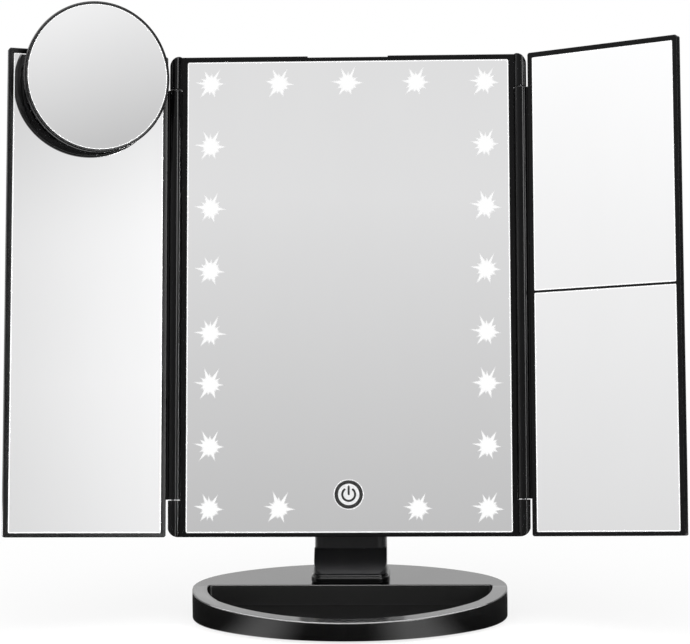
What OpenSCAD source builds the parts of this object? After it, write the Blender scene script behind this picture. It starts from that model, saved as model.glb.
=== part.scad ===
// Trifold vanity mirror: a lit centre mirror on a tilting neck, two folding wings,
// and a small round magnifying mirror held on the left wing by suction cups.
// Origin: centre of the oval base, on the surface it stands on. +Z up, -Y faces the user.

/* [Base] */
// Half width of the oval base
base_half_w = 77.5; // [74:0.5:84]
// Half depth of the oval base
base_half_d = 60; // [57:0.5:64]
// Radius of the oval's narrow ends
base_end_r = 48; // [45:0.5:52]
// Height of the base's rear half
base_rear_h = 15.5; // [14.5:0.5:20]
// Height of the base at its front edge
base_front_h = 9.5; // [8.5:0.5:12]
// Wall of the base shell
base_wall = 2.2; // [1.6:0.1:2.6]
// Width of the rim round the tray
tray_rim = 7.5; // [6.5:0.5:9]
// Distance of the tray's rear edge behind the oval's centre
tray_rear_y = 3; // [1:0.5:3]
// Height of the tray's floor
tray_floor_z = 5.3; // [5:0.1:6.5]
// Radius of the tray's rear corners
tray_corner_r = 2; // [1:0.5:5]
// Height of the bottom cover's sheet
bottom_t = 1.8; // [1.2:0.1:2]
// Thickness of the steel ballast
ballast_t = 7.5; // [4:0.5:7.5]
// Radius of a rubber foot
foot_r = 6; // [4:0.5:7]
// How far the feet lift the shell
foot_lift = 0.8; // [0.4:0.1:1]

/* [Neck] */
// Width of the neck
neck_w = 36; // [30:0.5:40]
// Depth of the neck below its pivot head
neck_d = 15; // [13:0.5:15]
// How far the neck's foot reaches further forward
neck_reach = 9.5; // [5:0.5:9.5]
// Height of the foot's upright front above the base
neck_step = 5; // [5:0.5:6]
// Height above the base where the sloping front ends
neck_slope_h = 16; // [12:0.5:17]
// Wall of the neck
neck_wall = 2.4; // [1.8:0.1:3]
// How far the collar stands out round the neck
collar_out = 1.4; // [0.8:0.1:2]
// Height of the collar
collar_h = 4.5; // [3:0.5:5]
// Radius of the neck's pivot head
neck_head_r = 8; // [7:0.25:8]
// Height of the tilt axis above the floor
pivot_z = 48; // [46:0.1:56]
// Distance of the tilt axis behind the oval's centre
pivot_y = 22.8; // [22.8:0.1:24]
// Radius of the steel tilt shaft
shaft_r = 2.5; // [2:0.1:3]
// Thickness of a friction washer
washer_t = 0.5; // [0.3:0.1:0.8]
// Thickness of an ear of the rear cover
ear_t = 8; // [7:0.5:10]

/* [Centre panel] */
// Height of the centre panel and of the wings
head_h = 239.3; // [228:0.1:250]
// Backward tilt of the panel as it stands
head_tilt = 10; // [8:1:12]
// Distance of a wing's hinge axis from the middle
hinge_x = 86; // [85:0.5:90]
// Outer radius of the hinge barrels and knuckles
barrel_r = 3; // [2.8:0.1:3.2]
// Height of the upper knuckle
upper_knuckle = 16.5; // [12:0.5:20]
// Height of the lower knuckle
lower_knuckle = 18; // [14:0.5:20]
// Radius of the panel's outer corners
panel_corner_r = 5.5; // [4:0.5:7]
// Depth of the front frame behind the glass face
frame_d = 8; // [7:0.5:9]
// Depth of the whole panel behind the glass face
panel_d = 17; // [17:0.5:18.5]
// Radius along the rear cover's edges
cover_edge_r = 7; // [5:0.5:7.5]
// Wall of the frame and the rear cover
panel_wall = 1.8; // [1.5:0.1:2.2]
// Width of the frame's lip at the sides of the glass
side_lip = 2.6; // [2:0.1:3]
// Width of the lip above the glass, on the panel and the wings
top_lip = 2.6; // [2:0.1:3]
// Width of the lip below the glass, on the panel and the wings
end_lip = 2.1; // [1.8:0.1:3]
// How far the lips stand proud of the glass
lip_proud = 0.3; // [0.2:0.05:0.35]
// Thickness of the mirror glass
glass_t = 2; // [1.8:0.1:2.2]
// Width of the finger notch in the top edge
notch_w = 40; // [25:1:60]
// Depth of the finger notch
notch_depth = 0.6; // [0.3:0.1:1]

/* [Lights and switch] */
// Radius of a light window
window_r = 3; // [2:0.1:3.5]
// Distance of the light columns from the middle
light_x = 68.4; // [64:0.1:72]
// Lights in the top row, corners included
row_lights = 5; // [3:2:7]
// Distance of the top row below the panel's top
light_top = 13.8; // [10:0.1:14]
// Height of the bottom row above the panel's bottom
light_bottom = 13.8; // [12:0.1:18]
// Radius of the touch window
touch_r = 7.5; // [6:0.5:9]
// Height of the touch window above the panel's bottom
touch_z = 20.7; // [19:0.1:24]
// Thickness of the circuit boards
board_t = 1; // [0.8:0.1:1.6]

/* [Battery box] */
// Radius of a cell
cell_r = 5.25; // [5.25:0.01:5.3]
// Length of a cell
cell_l = 44.5; // [44:0.1:44.5]
// Number of cells side by side
cells = 4; // [3:1:5]
// Room for the contact springs at the end of a cell
spring_room = 4; // [3:0.5:5]
// Height of the battery box above the panel's bottom
box_z = 62; // [50:1:90]
// Wall of the battery box
box_wall = 1.2; // [1:0.1:1.5]

/* [Wings] */
// Reach of a wing from its hinge axis
wing_w = 84; // [80:0.5:84.5]
// Thickness of a wing behind its glass face
wing_t = 5; // [4.5:0.1:6]
// Width of the lip at the sides of a wing's glass
wing_lip = 2.5; // [1.8:0.1:3]
// Rounding along a wing's rear edges
wing_edge_r = 1.8; // [1:0.1:2]
// Left wing's swing towards the user
left_angle = 20; // [10:1:40]
// Right wing's swing towards the user
right_angle = 29; // [10:1:40]
// Width of the bar between the two mirrors of the right wing
divider_w = 1.2; // [0.8:0.1:2]
// Radius of a wing's hinge pin
pin_r = 1.2; // [1:0.1:1.4]
// How far a pin reaches into the barrel
pin_reach = 12; // [8:1:15]

/* [Spot mirror] */
// Outer radius of the round mirror
spot_r = 37; // [33:0.5:40]
// Depth of its housing
spot_d = 6.5; // [6:0.5:8]
// Width of its rim
spot_rim_w = 1; // [1:0.1:2.5]
// Standoff of the housing's middle from the wing's glass
spot_gap = 6.7; // [6:0.1:8]
// Turn of its face towards the centre panel, out of the wing's plane
spot_turn = 6; // [0:0.5:8]
// Forward lean of its face, out of the wing's plane
spot_nod = 5.5; // [0:0.5:6]
// Distance of its centre below the wing's top
spot_below = 14; // [13:0.1:17]
// Distance of its centre from the wing's middle, towards the hinge
spot_shift = 1.2; // [0:0.1:1.5]
// Radius of a suction cup
cup_r = 9.5; // [8:0.5:9.5]
// Distance of a cup from the spot mirror's middle
cup_x = 17; // [15:0.5:22]

/* [Hidden] */
$fn = 96;

black = [0.06, 0.06, 0.065];
dark = [0.16, 0.16, 0.17];
silver = [0.86, 0.88, 0.9];
steel = [0.62, 0.63, 0.65];
lit = [1, 1, 0.96];
board_green = [0.1, 0.35, 0.2];
gold = [0.8, 0.66, 0.3];

eps = 0.01;
big = 400;
fit = 0.05;            // radial clearance of a pin or shaft that turns
play = 0.3;            // gap between pieces that move past each other

// Oval base: two end arcs of base_end_r and two long arcs that meet them tangentially
end_x = base_half_w - base_end_r;
long_off = (end_x * end_x - pow(base_half_d - base_end_r, 2)) / (2 * (base_half_d - base_end_r));
long_r = base_half_d + long_off;
tangent_x = end_x * long_r / (long_r - base_end_r);
shell_z = foot_lift;                       // lower rim of the shell
bottom_z = shell_z + 0.2;                  // underside of the bottom cover
bottom_top = bottom_z + bottom_t;
tray_under = tray_floor_z - 2;             // underside of the tray's floor
ballast_y = tray_rear_y + 4;               // front edge of the ballast
boss_r = 3.2;
screw_l = 8;
screw_r = 1.2;
screw_head_r = 2.4;

// Screw bosses of the base: two beside the ballast's front corners, two near the rear edge
side_boss_y = ballast_y + boss_r + 1;
side_boss_x = end_x + sqrt(pow(base_end_r - base_wall - boss_r - 1, 2) - pow(side_boss_y, 2));
rear_boss_y = base_half_d - base_wall - boss_r - 8;
rear_boss_x = end_x - 3;
base_boss = [for (s = [-1, 1]) each [[s * side_boss_x, side_boss_y], [s * rear_boss_x, rear_boss_y]]];
foot_inset = 32;                           // from the oval's edges to the middle of a foot

// Neck
neck_corner = 5;
foot_front = -neck_d / 2 - neck_reach;     // front of the neck's foot, from the pivot
foot_z = base_rear_h - base_wall - 1.8;    // underside of the neck's foot flange
foot_side = 7;                             // how far the foot flange stands out at the neck's sides
foot_w = neck_w + 2 * foot_side;
foot_back = 4;                             // how far the foot flange stands out behind the neck
ear_in = neck_w / 2 + washer_t;            // inner face of an ear
ear_out = ear_in + ear_t;
ear_recess = 4;
ear_rise = 18;                             // height of an ear's root above the tilt axis
ear_slope = 60;                            // direction of the point where its upper edge leaves the round end
cap_t = 1.2;
nut_r = 4.6;

// Tilt axis in the panel's own frame (origin: middle of its lower front edge)
axis_back = panel_d + neck_head_r + 1;
axis_up = neck_head_r + 4;

// Centre panel
side_x = hinge_x - barrel_r - play;        // side wall between the knuckles
hinge_y = -lip_proud - 0.15;               // hinge axis, just in front of the lips
out_x = hinge_x + barrel_r;
glass_x = side_x - side_lip;
glass_z0 = end_lip;
glass_z1 = head_h - top_lip;
plate_back = glass_t + 1.6;                // rear face of the plate that carries the glass
glass_fit = 0.05;
inner_x = side_x - panel_wall;
cover_screw_z = [14, head_h / 2, head_h - 14];
rib_y = hinge_y + barrel_r + play;         // ribs beside the hinge barrels
rib_t = 1.2;
rib_reach = play + 0.5;

// Lights: heights in a column, counted from its lowest one; the step above the third is the short one
light_z0 = light_bottom;
light_z1 = head_h - light_top;
light_steps = [0, 30.4, 61.1, 86.6, 117.7, 149, 180.2, 211.7];
light_scale = (light_z1 - light_z0) / light_steps[7];
row_step = 2 * light_x / (row_lights - 1);
column_points = [for (s = [-1, 1], h = light_steps) [s * light_x, light_z0 + h * light_scale]];
top_points = [for (i = [1 : row_lights - 2]) [-light_x + i * row_step, light_z1]];
bottom_points = [for (i = [1 : row_lights - 2])
                 if (i != (row_lights - 1) / 2) [-light_x + i * row_step, light_z0]];
light_points = concat(column_points, top_points, bottom_points);
board_y = plate_back + 0.9;                // front face of the light board
board_w = 7;
screw_boss_r = 2.8;
cover_screw_x = light_x + board_w / 2 + play + screw_boss_r;
control_y = board_y + 4.5;                 // front face of the control board

// Battery box
cell_pitch = 2 * cell_r + 0.4;
box_w = cells * cell_pitch + 2 * box_wall;
box_h = cell_l + spring_room + 2 * box_wall;
door_t = 1.6;
box_back = panel_d - door_t - 0.1;
cell_y = box_back - cell_r - 0.15;
contact_t = 0.3;
contact_r = 3.5;
spring_l = spring_room - contact_t;
function cell_x(i) = (i - (cells - 1) / 2) * cell_pitch;
door_lap = 2;                              // overlap of the door past the box
usb_z = 30;
usb_x = 50;
control_w = 32;                            // control board, with the socket near its right end
control_h = 22;
control_right = 10;
control_low = 8;
vents = 6;                                 // slots above the battery box
vent_w = 44;
vent_pitch = 7;
vent_rise = 24;                            // from the battery box up to the first slot
vent_z = box_z + box_h + vent_rise;

// Wings, in their own frame: hinge axis at the origin, u outward, v away from the user
wing_u = barrel_r + 0.9;                   // inner edge of the frame
wing_glass_u0 = wing_u + wing_lip;
wing_glass_u1 = wing_w - wing_lip;
wing_face = -lip_proud - hinge_y - 0.05;   // front of the lips, in the wing's frame
wing_glass_v = wing_face + lip_proud;
wing_glass_t = 2;
ring_v = wing_glass_v + 2.8;               // rear face of the frame ring
wing_v = wing_glass_v + wing_t;
barrel_z0 = lower_knuckle + play;
barrel_z1 = head_h - upper_knuckle - play;
split_z = head_h / 2;

// Spot mirror, in the left wing's frame
spot_u = (wing_u + wing_w) / 2 - spot_shift;
spot_z = head_h - spot_below;
cup_drop = 3.5;
cup_neck_r = 3;
stem_r = 2.45;                             // end of a cup's neck in the housing's hole
cup_top = 2;                               // where a cup's stem leaves it, above the glass

// A direction of the leaning housing in the frame of the wing's glass
function nodded(p) =
    [p[0], p[1] * cos(spot_nod) - p[2] * sin(spot_nod), p[1] * sin(spot_nod) + p[2] * cos(spot_nod)];
function turned(p) =
    [p[0] * cos(spot_turn) - p[2] * sin(spot_turn), p[1], p[0] * sin(spot_turn) + p[2] * cos(spot_turn)];
function leaned(p) = turned(nodded(p));
spot_axis = leaned([0, 0, 1]);
// Where the stem of the cup on side s meets the housing's rear, and the stem's length
function stem_root(s) = [0, 0, spot_gap] + leaned([s * cup_x, -cup_drop, 0]);
function stem_l(s) = (stem_root(s)[2] - cup_top) / spot_axis[2];

// ---- shared shapes ----

// The base's oval, drawn in by d
module oval(d) {
    intersection() {
        translate([0, -long_off]) circle(long_r - d);
        translate([0, long_off]) circle(long_r - d);
        square([2 * tangent_x, 2 * base_half_d], center = true);
    }
    for (s = [-1, 1]) translate([s * end_x, 0]) circle(base_end_r - d);
}

// Everything under the base's top face: level behind, sloping down to the front
module under_top(drop) {
    rotate([90, 0, 90]) translate([0, 0, -big / 2]) linear_extrude(big)
        polygon([[-base_half_d - 10, -1], [base_half_d + 10, -1], [base_half_d + 10, base_rear_h - drop],
                 [0, base_rear_h - drop],
                 [-base_half_d, base_front_h - drop], [-base_half_d - 10, base_front_h - drop]]);
}

// Plan of the tray, grown by d
module tray_plan(d) {
    intersection() {
        oval(tray_rim - d);
        union() {
            translate([-big / 2, -big]) square([big, big + tray_rear_y - tray_corner_r]);
            tray_half = end_x + sqrt(pow(base_end_r - tray_rim, 2) - pow(tray_rear_y, 2)) + d;
            for (s = [-1, 1])
                translate([s * (tray_half - tray_corner_r - d), tray_rear_y - tray_corner_r])
                    circle(tray_corner_r + d);
            translate([-tray_half + tray_corner_r + d, tray_rear_y - tray_corner_r - 1])
                square([2 * (tray_half - tray_corner_r - d), tray_corner_r + d + 1]);
        }
    }
}

module round_rect(w, d, r) {
    square([w - 2 * r, d], center = true);
    square([w, d - 2 * r], center = true);
    for (x = [-1, 1], y = [-1, 1]) translate([x * (w / 2 - r), y * (d / 2 - r)]) circle(r);
}

// A box from one corner to another
module span(a, b) {
    translate(a) cube(b - a);
}

// A rod along +Y from y0 to y1
module rod_y(x, z, r, y0, y1) {
    translate([x, y0, z]) rotate([-90, 0, 0]) cylinder(r = r, h = y1 - y0);
}

// A rod along +X from x0 to x1 on the tilt axis, in the panel's frame
module rod_x(r, x0, x1) {
    translate([x0, axis_back, axis_up]) rotate([0, 90, 0]) cylinder(r = r, h = x1 - x0);
}

// From the panel's frame to the part's frame
module on_head() {
    translate([0, pivot_y, pivot_z]) rotate([-head_tilt, 0, 0])
        translate([0, -axis_back, -axis_up]) children();
}

// From a wing's frame to the part's frame; side is -1 for the left wing
module on_wing(side) {
    on_head() translate([side * hinge_x, hinge_y, 0])
        rotate([0, 0, -side * (side < 0 ? left_angle : right_angle)])
            if (side < 0) mirror([1, 0, 0]) children(); else children();
}

// Outline of the panel seen from the front, as a slab from y0 to y1
module front_slab(w, z0, z1, r, y0, y1) {
    translate([0, y1, (z0 + z1) / 2]) rotate([90, 0, 0]) linear_extrude(y1 - y0)
        round_rect(w, z1 - z0, r);
}

// ---- base ----

module base_shell() {
    color(black) difference() {
        union() {
            difference() {
                intersection() {
                    translate([0, 0, shell_z]) linear_extrude(big) oval(0);
                    under_top(0);
                }
                // hollow, open below
                difference() {
                    intersection() {
                        translate([0, 0, -eps]) linear_extrude(big) oval(base_wall);
                        under_top(base_wall);
                    }
                    translate([0, 0, tray_under]) linear_extrude(big) tray_plan(base_wall);
                }
            }
            for (p = base_boss) translate([p[0], p[1], bottom_top])
                cylinder(r = boss_r, h = base_rear_h - base_wall / 2 - bottom_top);
        }
        translate([0, 0, tray_floor_z]) linear_extrude(big) tray_plan(0);
        for (p = base_boss) translate([p[0], p[1], -eps])
            cylinder(r = screw_r, h = base_rear_h - base_wall - 1);
        // opening for the neck
        translate([0, pivot_y, base_rear_h - base_wall - 1]) linear_extrude(big)
            foot_plan(fit);
        neck_screw_places() cylinder(r = screw_r, h = base_rear_h - 1);
    }
}

module base_bottom_cover() {
    color(dark) difference() {
        translate([0, 0, bottom_z]) linear_extrude(bottom_t) oval(base_wall + 0.2);
        for (p = base_boss) translate([p[0], p[1], 0]) {
            cylinder(r = screw_r + 0.2, h = big);
            cylinder(r = screw_head_r + 0.2, h = bottom_z + 1);
        }
        foot_places() cylinder(r = foot_r, h = bottom_z + 0.8);
    }
}

module foot_places() {
    children();
    for (x = [-1, 1], y = [-1, 1])
        translate([x * (base_half_w - foot_inset), y * (base_half_d - foot_inset), 0]) children();
}

module rubber_feet() {
    color(dark) foot_places() {
        cylinder(r1 = foot_r - 0.8, r2 = foot_r - 0.2, h = foot_lift);
        translate([0, 0, foot_lift]) cylinder(r = foot_r - 0.2, h = bottom_z + 0.8 - foot_lift);
    }
}

module ballast_weight() {
    color(steel) difference() {
        translate([0, 0, bottom_top]) linear_extrude(ballast_t) intersection() {
            oval(base_wall + 4);
            translate([-big / 2, ballast_y]) square(big);
        }
        for (p = base_boss) translate([p[0], p[1], 0]) cylinder(r = boss_r + 0.4, h = big);
    }
}

module base_screws() {
    color(steel) for (p = base_boss) translate([p[0], p[1], bottom_z]) {
        cylinder(r = screw_head_r, h = 1);
        cylinder(r = screw_r, h = screw_l);
    }
}

// ---- neck and tilt joint ----

module neck_screw_places() {
    for (x = [-1, 1]) translate([x * (neck_w + foot_side) / 2, pivot_y, 0]) children();
}

// Plan of the neck's foot, grown by d, with the pivot axis at its origin
module foot_plan(d) {
    translate([0, -neck_reach / 2])
        round_rect(neck_w + 2 * d, neck_d + neck_reach + 2 * d, neck_corner + d);
}

module neck_column() {
    color(black) difference() {
        union() {
            translate([0, pivot_y, foot_z]) linear_extrude(pivot_z - foot_z)
                round_rect(neck_w, neck_d, neck_corner);
            translate([-neck_w / 2, pivot_y, pivot_z]) rotate([0, 90, 0])
                cylinder(r = neck_head_r, h = neck_w);
            // foot, deeper than the column, with a front that slopes back to it
            translate([0, pivot_y, 0]) intersection() {
                translate([0, 0, foot_z]) linear_extrude(pivot_z - foot_z) foot_plan(0);
                translate([-neck_w / 2, 0, 0]) rotate([90, 0, 90]) linear_extrude(neck_w)
                    polygon([[foot_front, foot_z], [0, foot_z], [0, base_rear_h + neck_slope_h],
                             [-neck_d / 2, base_rear_h + neck_slope_h],
                             [foot_front, base_rear_h + neck_step]]);
            }
            translate([0, pivot_y + (foot_back - neck_reach) / 2, foot_z]) linear_extrude(1.8)
                round_rect(foot_w, neck_d + neck_reach + foot_back, neck_corner);
        }
        translate([0, pivot_y, foot_z - eps]) {
            linear_extrude(pivot_z - neck_head_r - foot_z - 3)
                round_rect(neck_w - 2 * neck_wall, neck_d - 2 * neck_wall, neck_corner - neck_wall);
            linear_extrude(base_rear_h + neck_step - foot_z) foot_plan(-neck_wall);
        }
        translate([-big / 2, pivot_y, pivot_z]) rotate([0, 90, 0])
            cylinder(r = shaft_r + fit, h = big);
        neck_screw_places() cylinder(r = screw_r + 0.2, h = foot_z + 2);
    }
}

module neck_collar() {
    color(black) translate([0, pivot_y, base_rear_h]) difference() {
        union() {
            linear_extrude(collar_h - 1) foot_plan(collar_out);
            linear_extrude(collar_h) foot_plan(collar_out - 0.5);
        }
        translate([0, 0, -eps]) linear_extrude(big) foot_plan(0);
    }
}

module neck_screws() {
    color(steel) neck_screw_places() translate([0, 0, foot_z - 1]) {
        cylinder(r = screw_head_r - 0.2, h = 1);
        cylinder(r = screw_r, h = 3.4);
    }
}

module tilt_shaft() {
    color(steel) on_head() {
        rod_x(shaft_r, -ear_out + 1.6, ear_out - cap_t - 0.3);
        rod_x(shaft_r * 1.8, -ear_out + 1.6, -ear_out + ear_recess);
    }
}

module tilt_nut() {
    color(steel) on_head() difference() {
        translate([ear_out - ear_recess, axis_back, axis_up]) rotate([0, 90, 0])
            cylinder(r = nut_r, h = 2.4, $fn = 6);
        rod_x(shaft_r, 0, big);
    }
}

module friction_washers() {
    color(gold) on_head() for (s = [-1, 1]) difference() {
        rod_x(neck_head_r - 1, s > 0 ? neck_w / 2 + fit : -ear_in, s > 0 ? ear_in : -neck_w / 2 - fit);
        rod_x(shaft_r, -big / 2, big / 2);
    }
}

module shaft_caps() {
    color(black) on_head() for (x = [-ear_out, ear_out - cap_t]) rod_x(neck_head_r - 2, x, x + cap_t);
}

// ---- centre panel ----

// One knuckle post of the front frame, from z0 to z1
module knuckle(side, z0, z1) {
    translate([side * hinge_x, hinge_y, z0]) cylinder(r = barrel_r, h = z1 - z0);
    span([side > 0 ? glass_x + 0.4 : -hinge_x, -lip_proud, z0],
         [side > 0 ? hinge_x : -glass_x - 0.4, barrel_r + hinge_y, z1]);
}

module front_frame() {
    color(black) on_head() difference() {
        union() {
            difference() {
                frame_form();
                // hollow behind the carrier plate
                front_slab(2 * inner_x, panel_wall, head_h - panel_wall, 2, plate_back, big);
            }
            cover_screw_places() rod_y(0, 0, screw_boss_r, glass_t, frame_d);
        }
        // pocket of the glass
        front_slab(2 * (glass_x + glass_fit), glass_z0 - glass_fit, glass_z1 + glass_fit, 1,
                   -big / 2, glass_t);
        for (p = light_points) rod_y(p[0], p[1], window_r + 0.3, 0, frame_d);
        rod_y(0, touch_z, touch_r - 1, 0, frame_d);
        cover_screw_places() rod_y(0, 0, screw_r, frame_d - 3, big);
        // finger notch
        span([-notch_w / 2, -big / 2, head_h - notch_depth], [notch_w / 2, 3, head_h + 1]);
        pin_bores(pin_r);
    }
}

// Outer form of the front frame with its knuckles, rounded at the panel's corners
module frame_form() {
    intersection() {
        union() {
            span([-side_x, -lip_proud, 0], [side_x, frame_d, head_h]);
            // ribs behind the barrels, which close the view between them and the panel
            span([-side_x - rib_reach, rib_y, lower_knuckle],
                 [side_x + rib_reach, rib_y + rib_t, head_h - upper_knuckle]);
            for (s = [-1, 1]) {
                knuckle(s, 0, lower_knuckle);
                knuckle(s, head_h - upper_knuckle, head_h);
            }
        }
        front_slab(2 * out_x, 0, head_h, panel_corner_r, -barrel_r - 1, frame_d + 1);
    }
}

// The four hinge pins' places, as rods of radius r
module pin_bores(r) {
    for (s = [-1, 1]) {
        translate([s * hinge_x, hinge_y, 3]) cylinder(r = r, h = lower_knuckle - 3 + pin_reach);
        translate([s * hinge_x, hinge_y, head_h - upper_knuckle - pin_reach])
            cylinder(r = r, h = upper_knuckle - 3 + pin_reach);
    }
}

module wing_hinge_pins() {
    color(steel) on_head() pin_bores(pin_r);
}

// Outer form of the rear cover, drawn in by d
module cover_form(d) {
    r = cover_edge_r - d;
    depth = panel_d - d;
    intersection() {
        translate([0, 0, d]) linear_extrude(head_h - 2 * d) {
            translate([-side_x + d, 0]) square([2 * (side_x - d), depth - r]);
            translate([-side_x + d + r, 0]) square([2 * (side_x - d - r), depth]);
            for (s = [-1, 1]) translate([s * (side_x - d - r), depth - r]) circle(r);
        }
        rotate([90, 0, 90]) translate([0, 0, -big / 2]) linear_extrude(big) {
            translate([0, d]) square([depth - r, head_h - 2 * d]);
            translate([0, d + r]) square([depth, head_h - 2 * (d + r)]);
            for (z = [d + r, head_h - d - r]) translate([depth - r, z]) circle(r);
        }
        span([-side_x, frame_d - (d > 0 ? 1 : 0), 0], [side_x, panel_d, head_h]);
    }
}

module ear() {
    rotate([90, 0, 90]) linear_extrude(ear_t) {
        translate([axis_back, axis_up]) circle(neck_head_r);
        polygon([[panel_d - 1, axis_up - neck_head_r], [axis_back, axis_up - neck_head_r],
                 [axis_back + neck_head_r * cos(ear_slope), axis_up + neck_head_r * sin(ear_slope)],
                 [panel_d - 1, axis_up + ear_rise]]);
    }
}

module cover_screw_places() {
    for (s = [-1, 1], z = cover_screw_z) translate([s * cover_screw_x, 0, z]) children();
}

module rear_cover() {
    color(black) on_head() difference() {
        union() {
            difference() {
                cover_form(0);
                cover_form(panel_wall);
            }
            translate([ear_in, 0, 0]) ear();
            translate([-ear_out, 0, 0]) ear();
            intersection() {
                cover_screw_places() rod_y(0, 0, 4, frame_d, panel_d);
                cover_form(0);
            }
        }
        // battery opening with its ledge for the door
        span([-box_w / 2 - 0.1, frame_d, box_z - 0.1], [box_w / 2 + 0.1, big, box_z + box_h + 0.1]);
        span([-box_w / 2 - door_lap, panel_d - door_t, box_z - door_lap],
             [box_w / 2 + door_lap, big, box_z + box_h + door_lap]);
        // charging socket, screws and the tilt shaft
        span([usb_x - 4, panel_d - 3, usb_z - 1.8], [usb_x + 4, big, usb_z + 1.8]);
        cover_screw_places() {
            rod_y(0, 0, screw_r, -1, big);
            rod_y(0, 0, screw_head_r + 0.2, panel_d - 3, big);
        }
        rod_x(shaft_r, -big / 2, big / 2);
        rod_x(neck_head_r - 2, ear_out - ear_recess, big);
        rod_x(neck_head_r - 2, -big / 2, -ear_out + ear_recess);
        // vents above the battery box
        for (i = [0 : vents - 1])
            front_slab(vent_w, vent_z + vent_pitch * i, vent_z + vent_pitch * i + 3, 1.4, panel_d - 3, big);
    }
}

module cover_screws() {
    color(steel) on_head() cover_screw_places() {
        rod_y(0, 0, screw_r, frame_d - 3, panel_d - 3);
        rod_y(0, 0, screw_head_r, panel_d - 3, panel_d - 1.4);
    }
}

module centre_mirror() {
    color(silver) on_head() difference() {
        front_slab(2 * glass_x, glass_z0, glass_z1, 1, 0, glass_t);
        for (p = light_points) rod_y(p[0], p[1], window_r, -1, big);
        rod_y(0, touch_z, touch_r, -1, big);
    }
}

// Spots of the sheet that are left without silvering and frosted, one before each light
module led_windows() {
    color(lit) on_head() for (p = light_points) rod_y(p[0], p[1], window_r, 0, glass_t);
}

module touch_window() {
    color([0.8, 0.8, 0.8]) on_head() rod_y(0, touch_z, touch_r, 0, glass_t);
}

module led_board() {
    color(board_green) on_head() difference() {
        front_slab(2 * light_x + board_w, light_z0 - board_w / 2, light_z1 + board_w / 2, 2,
                   board_y, board_y + board_t);
        front_slab(2 * light_x - board_w, light_z0 + board_w / 2, light_z1 - board_w / 2, 1, -1, big);
        // gap for the touch board
        span([-touch_r - 4, -1, 0], [touch_r + 4, big, light_z0 + board_w]);
    }
}

module leds() {
    color(lit) on_head() for (p = light_points)
        span([p[0] - 1.4, board_y - 0.7, p[1] - 1.75], [p[0] + 1.4, board_y, p[1] + 1.75]);
}

module touch_board() {
    color(board_green) on_head() {
        span([-touch_r - 2, board_y, touch_z - touch_r - 2],
             [touch_r + 2, board_y + board_t, touch_z + touch_r + 2]);
        rod_y(0, touch_z, touch_r - 2, glass_t, board_y);
    }
}

module control_board() {
    color(board_green) on_head()
        translate([usb_x + control_right - control_w, control_y, usb_z - control_low])
            cube([control_w, board_t, control_h]);
}

module usb_socket() {
    color(steel) on_head() difference() {
        span([usb_x - 3.8, control_y + board_t, usb_z - 1.4], [usb_x + 3.8, panel_d - 0.4, usb_z + 1.4]);
        span([usb_x - 3.4, control_y + 3.5, usb_z - 1], [usb_x + 3.4, big, usb_z + 1]);
    }
}

module battery_box() {
    color(dark) on_head() difference() {
        span([-box_w / 2, plate_back, box_z], [box_w / 2, box_back, box_z + box_h]);
        span([-box_w / 2 + box_wall, cell_y - cell_r - 0.05, box_z + box_wall],
             [box_w / 2 - box_wall, big, box_z + box_h - box_wall]);
    }
}

module battery_cells() {
    color(gold) on_head() for (i = [0 : cells - 1])
        translate([cell_x(i), cell_y, box_z + box_wall + (i % 2 == 0 ? contact_t : spring_l)])
            cylinder(r = cell_r - 0.05, h = cell_l);
}

module battery_contacts() {
    color(steel) on_head() for (i = [0 : cells - 1]) translate([cell_x(i), cell_y, box_z + box_wall])
        // every second cell lies the other way round
        if (i % 2 == 0) {
            cylinder(r = contact_r, h = contact_t);
            translate([0, 0, contact_t + cell_l]) cylinder(r1 = 2, r2 = contact_r, h = spring_l);
        } else {
            cylinder(r1 = contact_r, r2 = 2, h = spring_l);
            translate([0, 0, spring_l + cell_l]) cylinder(r = contact_r, h = contact_t);
        }
}

module battery_door() {
    color(black) on_head() difference() {
        span([-box_w / 2 - door_lap + play, panel_d - door_t + 0.05, box_z - door_lap + play],
             [box_w / 2 + door_lap - play, panel_d, box_z + box_h + door_lap - play]);
        // thumb grooves
        for (i = [0 : 3]) translate([0, 0, box_z + box_h - 6 - 2.4 * i])
            span([-8, panel_d - 0.5, 0], [8, big, 1.2]);
    }
}

// ---- wings, drawn in their own frame ----

// Slab between two reaches and two heights, from v0 to v1
module wing_slab(u0, u1, z0, z1, r, v0, v1) {
    translate([(u0 + u1) / 2, 0, 0]) front_slab(u1 - u0, z0, z1, r, v0, v1);
}

module wing_frame(divided) {
    difference() {
        wing_slab(wing_u, wing_w, 0, head_h, 1.2, wing_face, ring_v);
        if (divided) {
            glass_slab(glass_z0, split_z - divider_w / 2, 0, -big / 2, big);
            glass_slab(split_z + divider_w / 2, glass_z1, 0, -big / 2, big);
        } else
            glass_slab(glass_z0, glass_z1, 0, -big / 2, big);
    }
}

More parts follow.
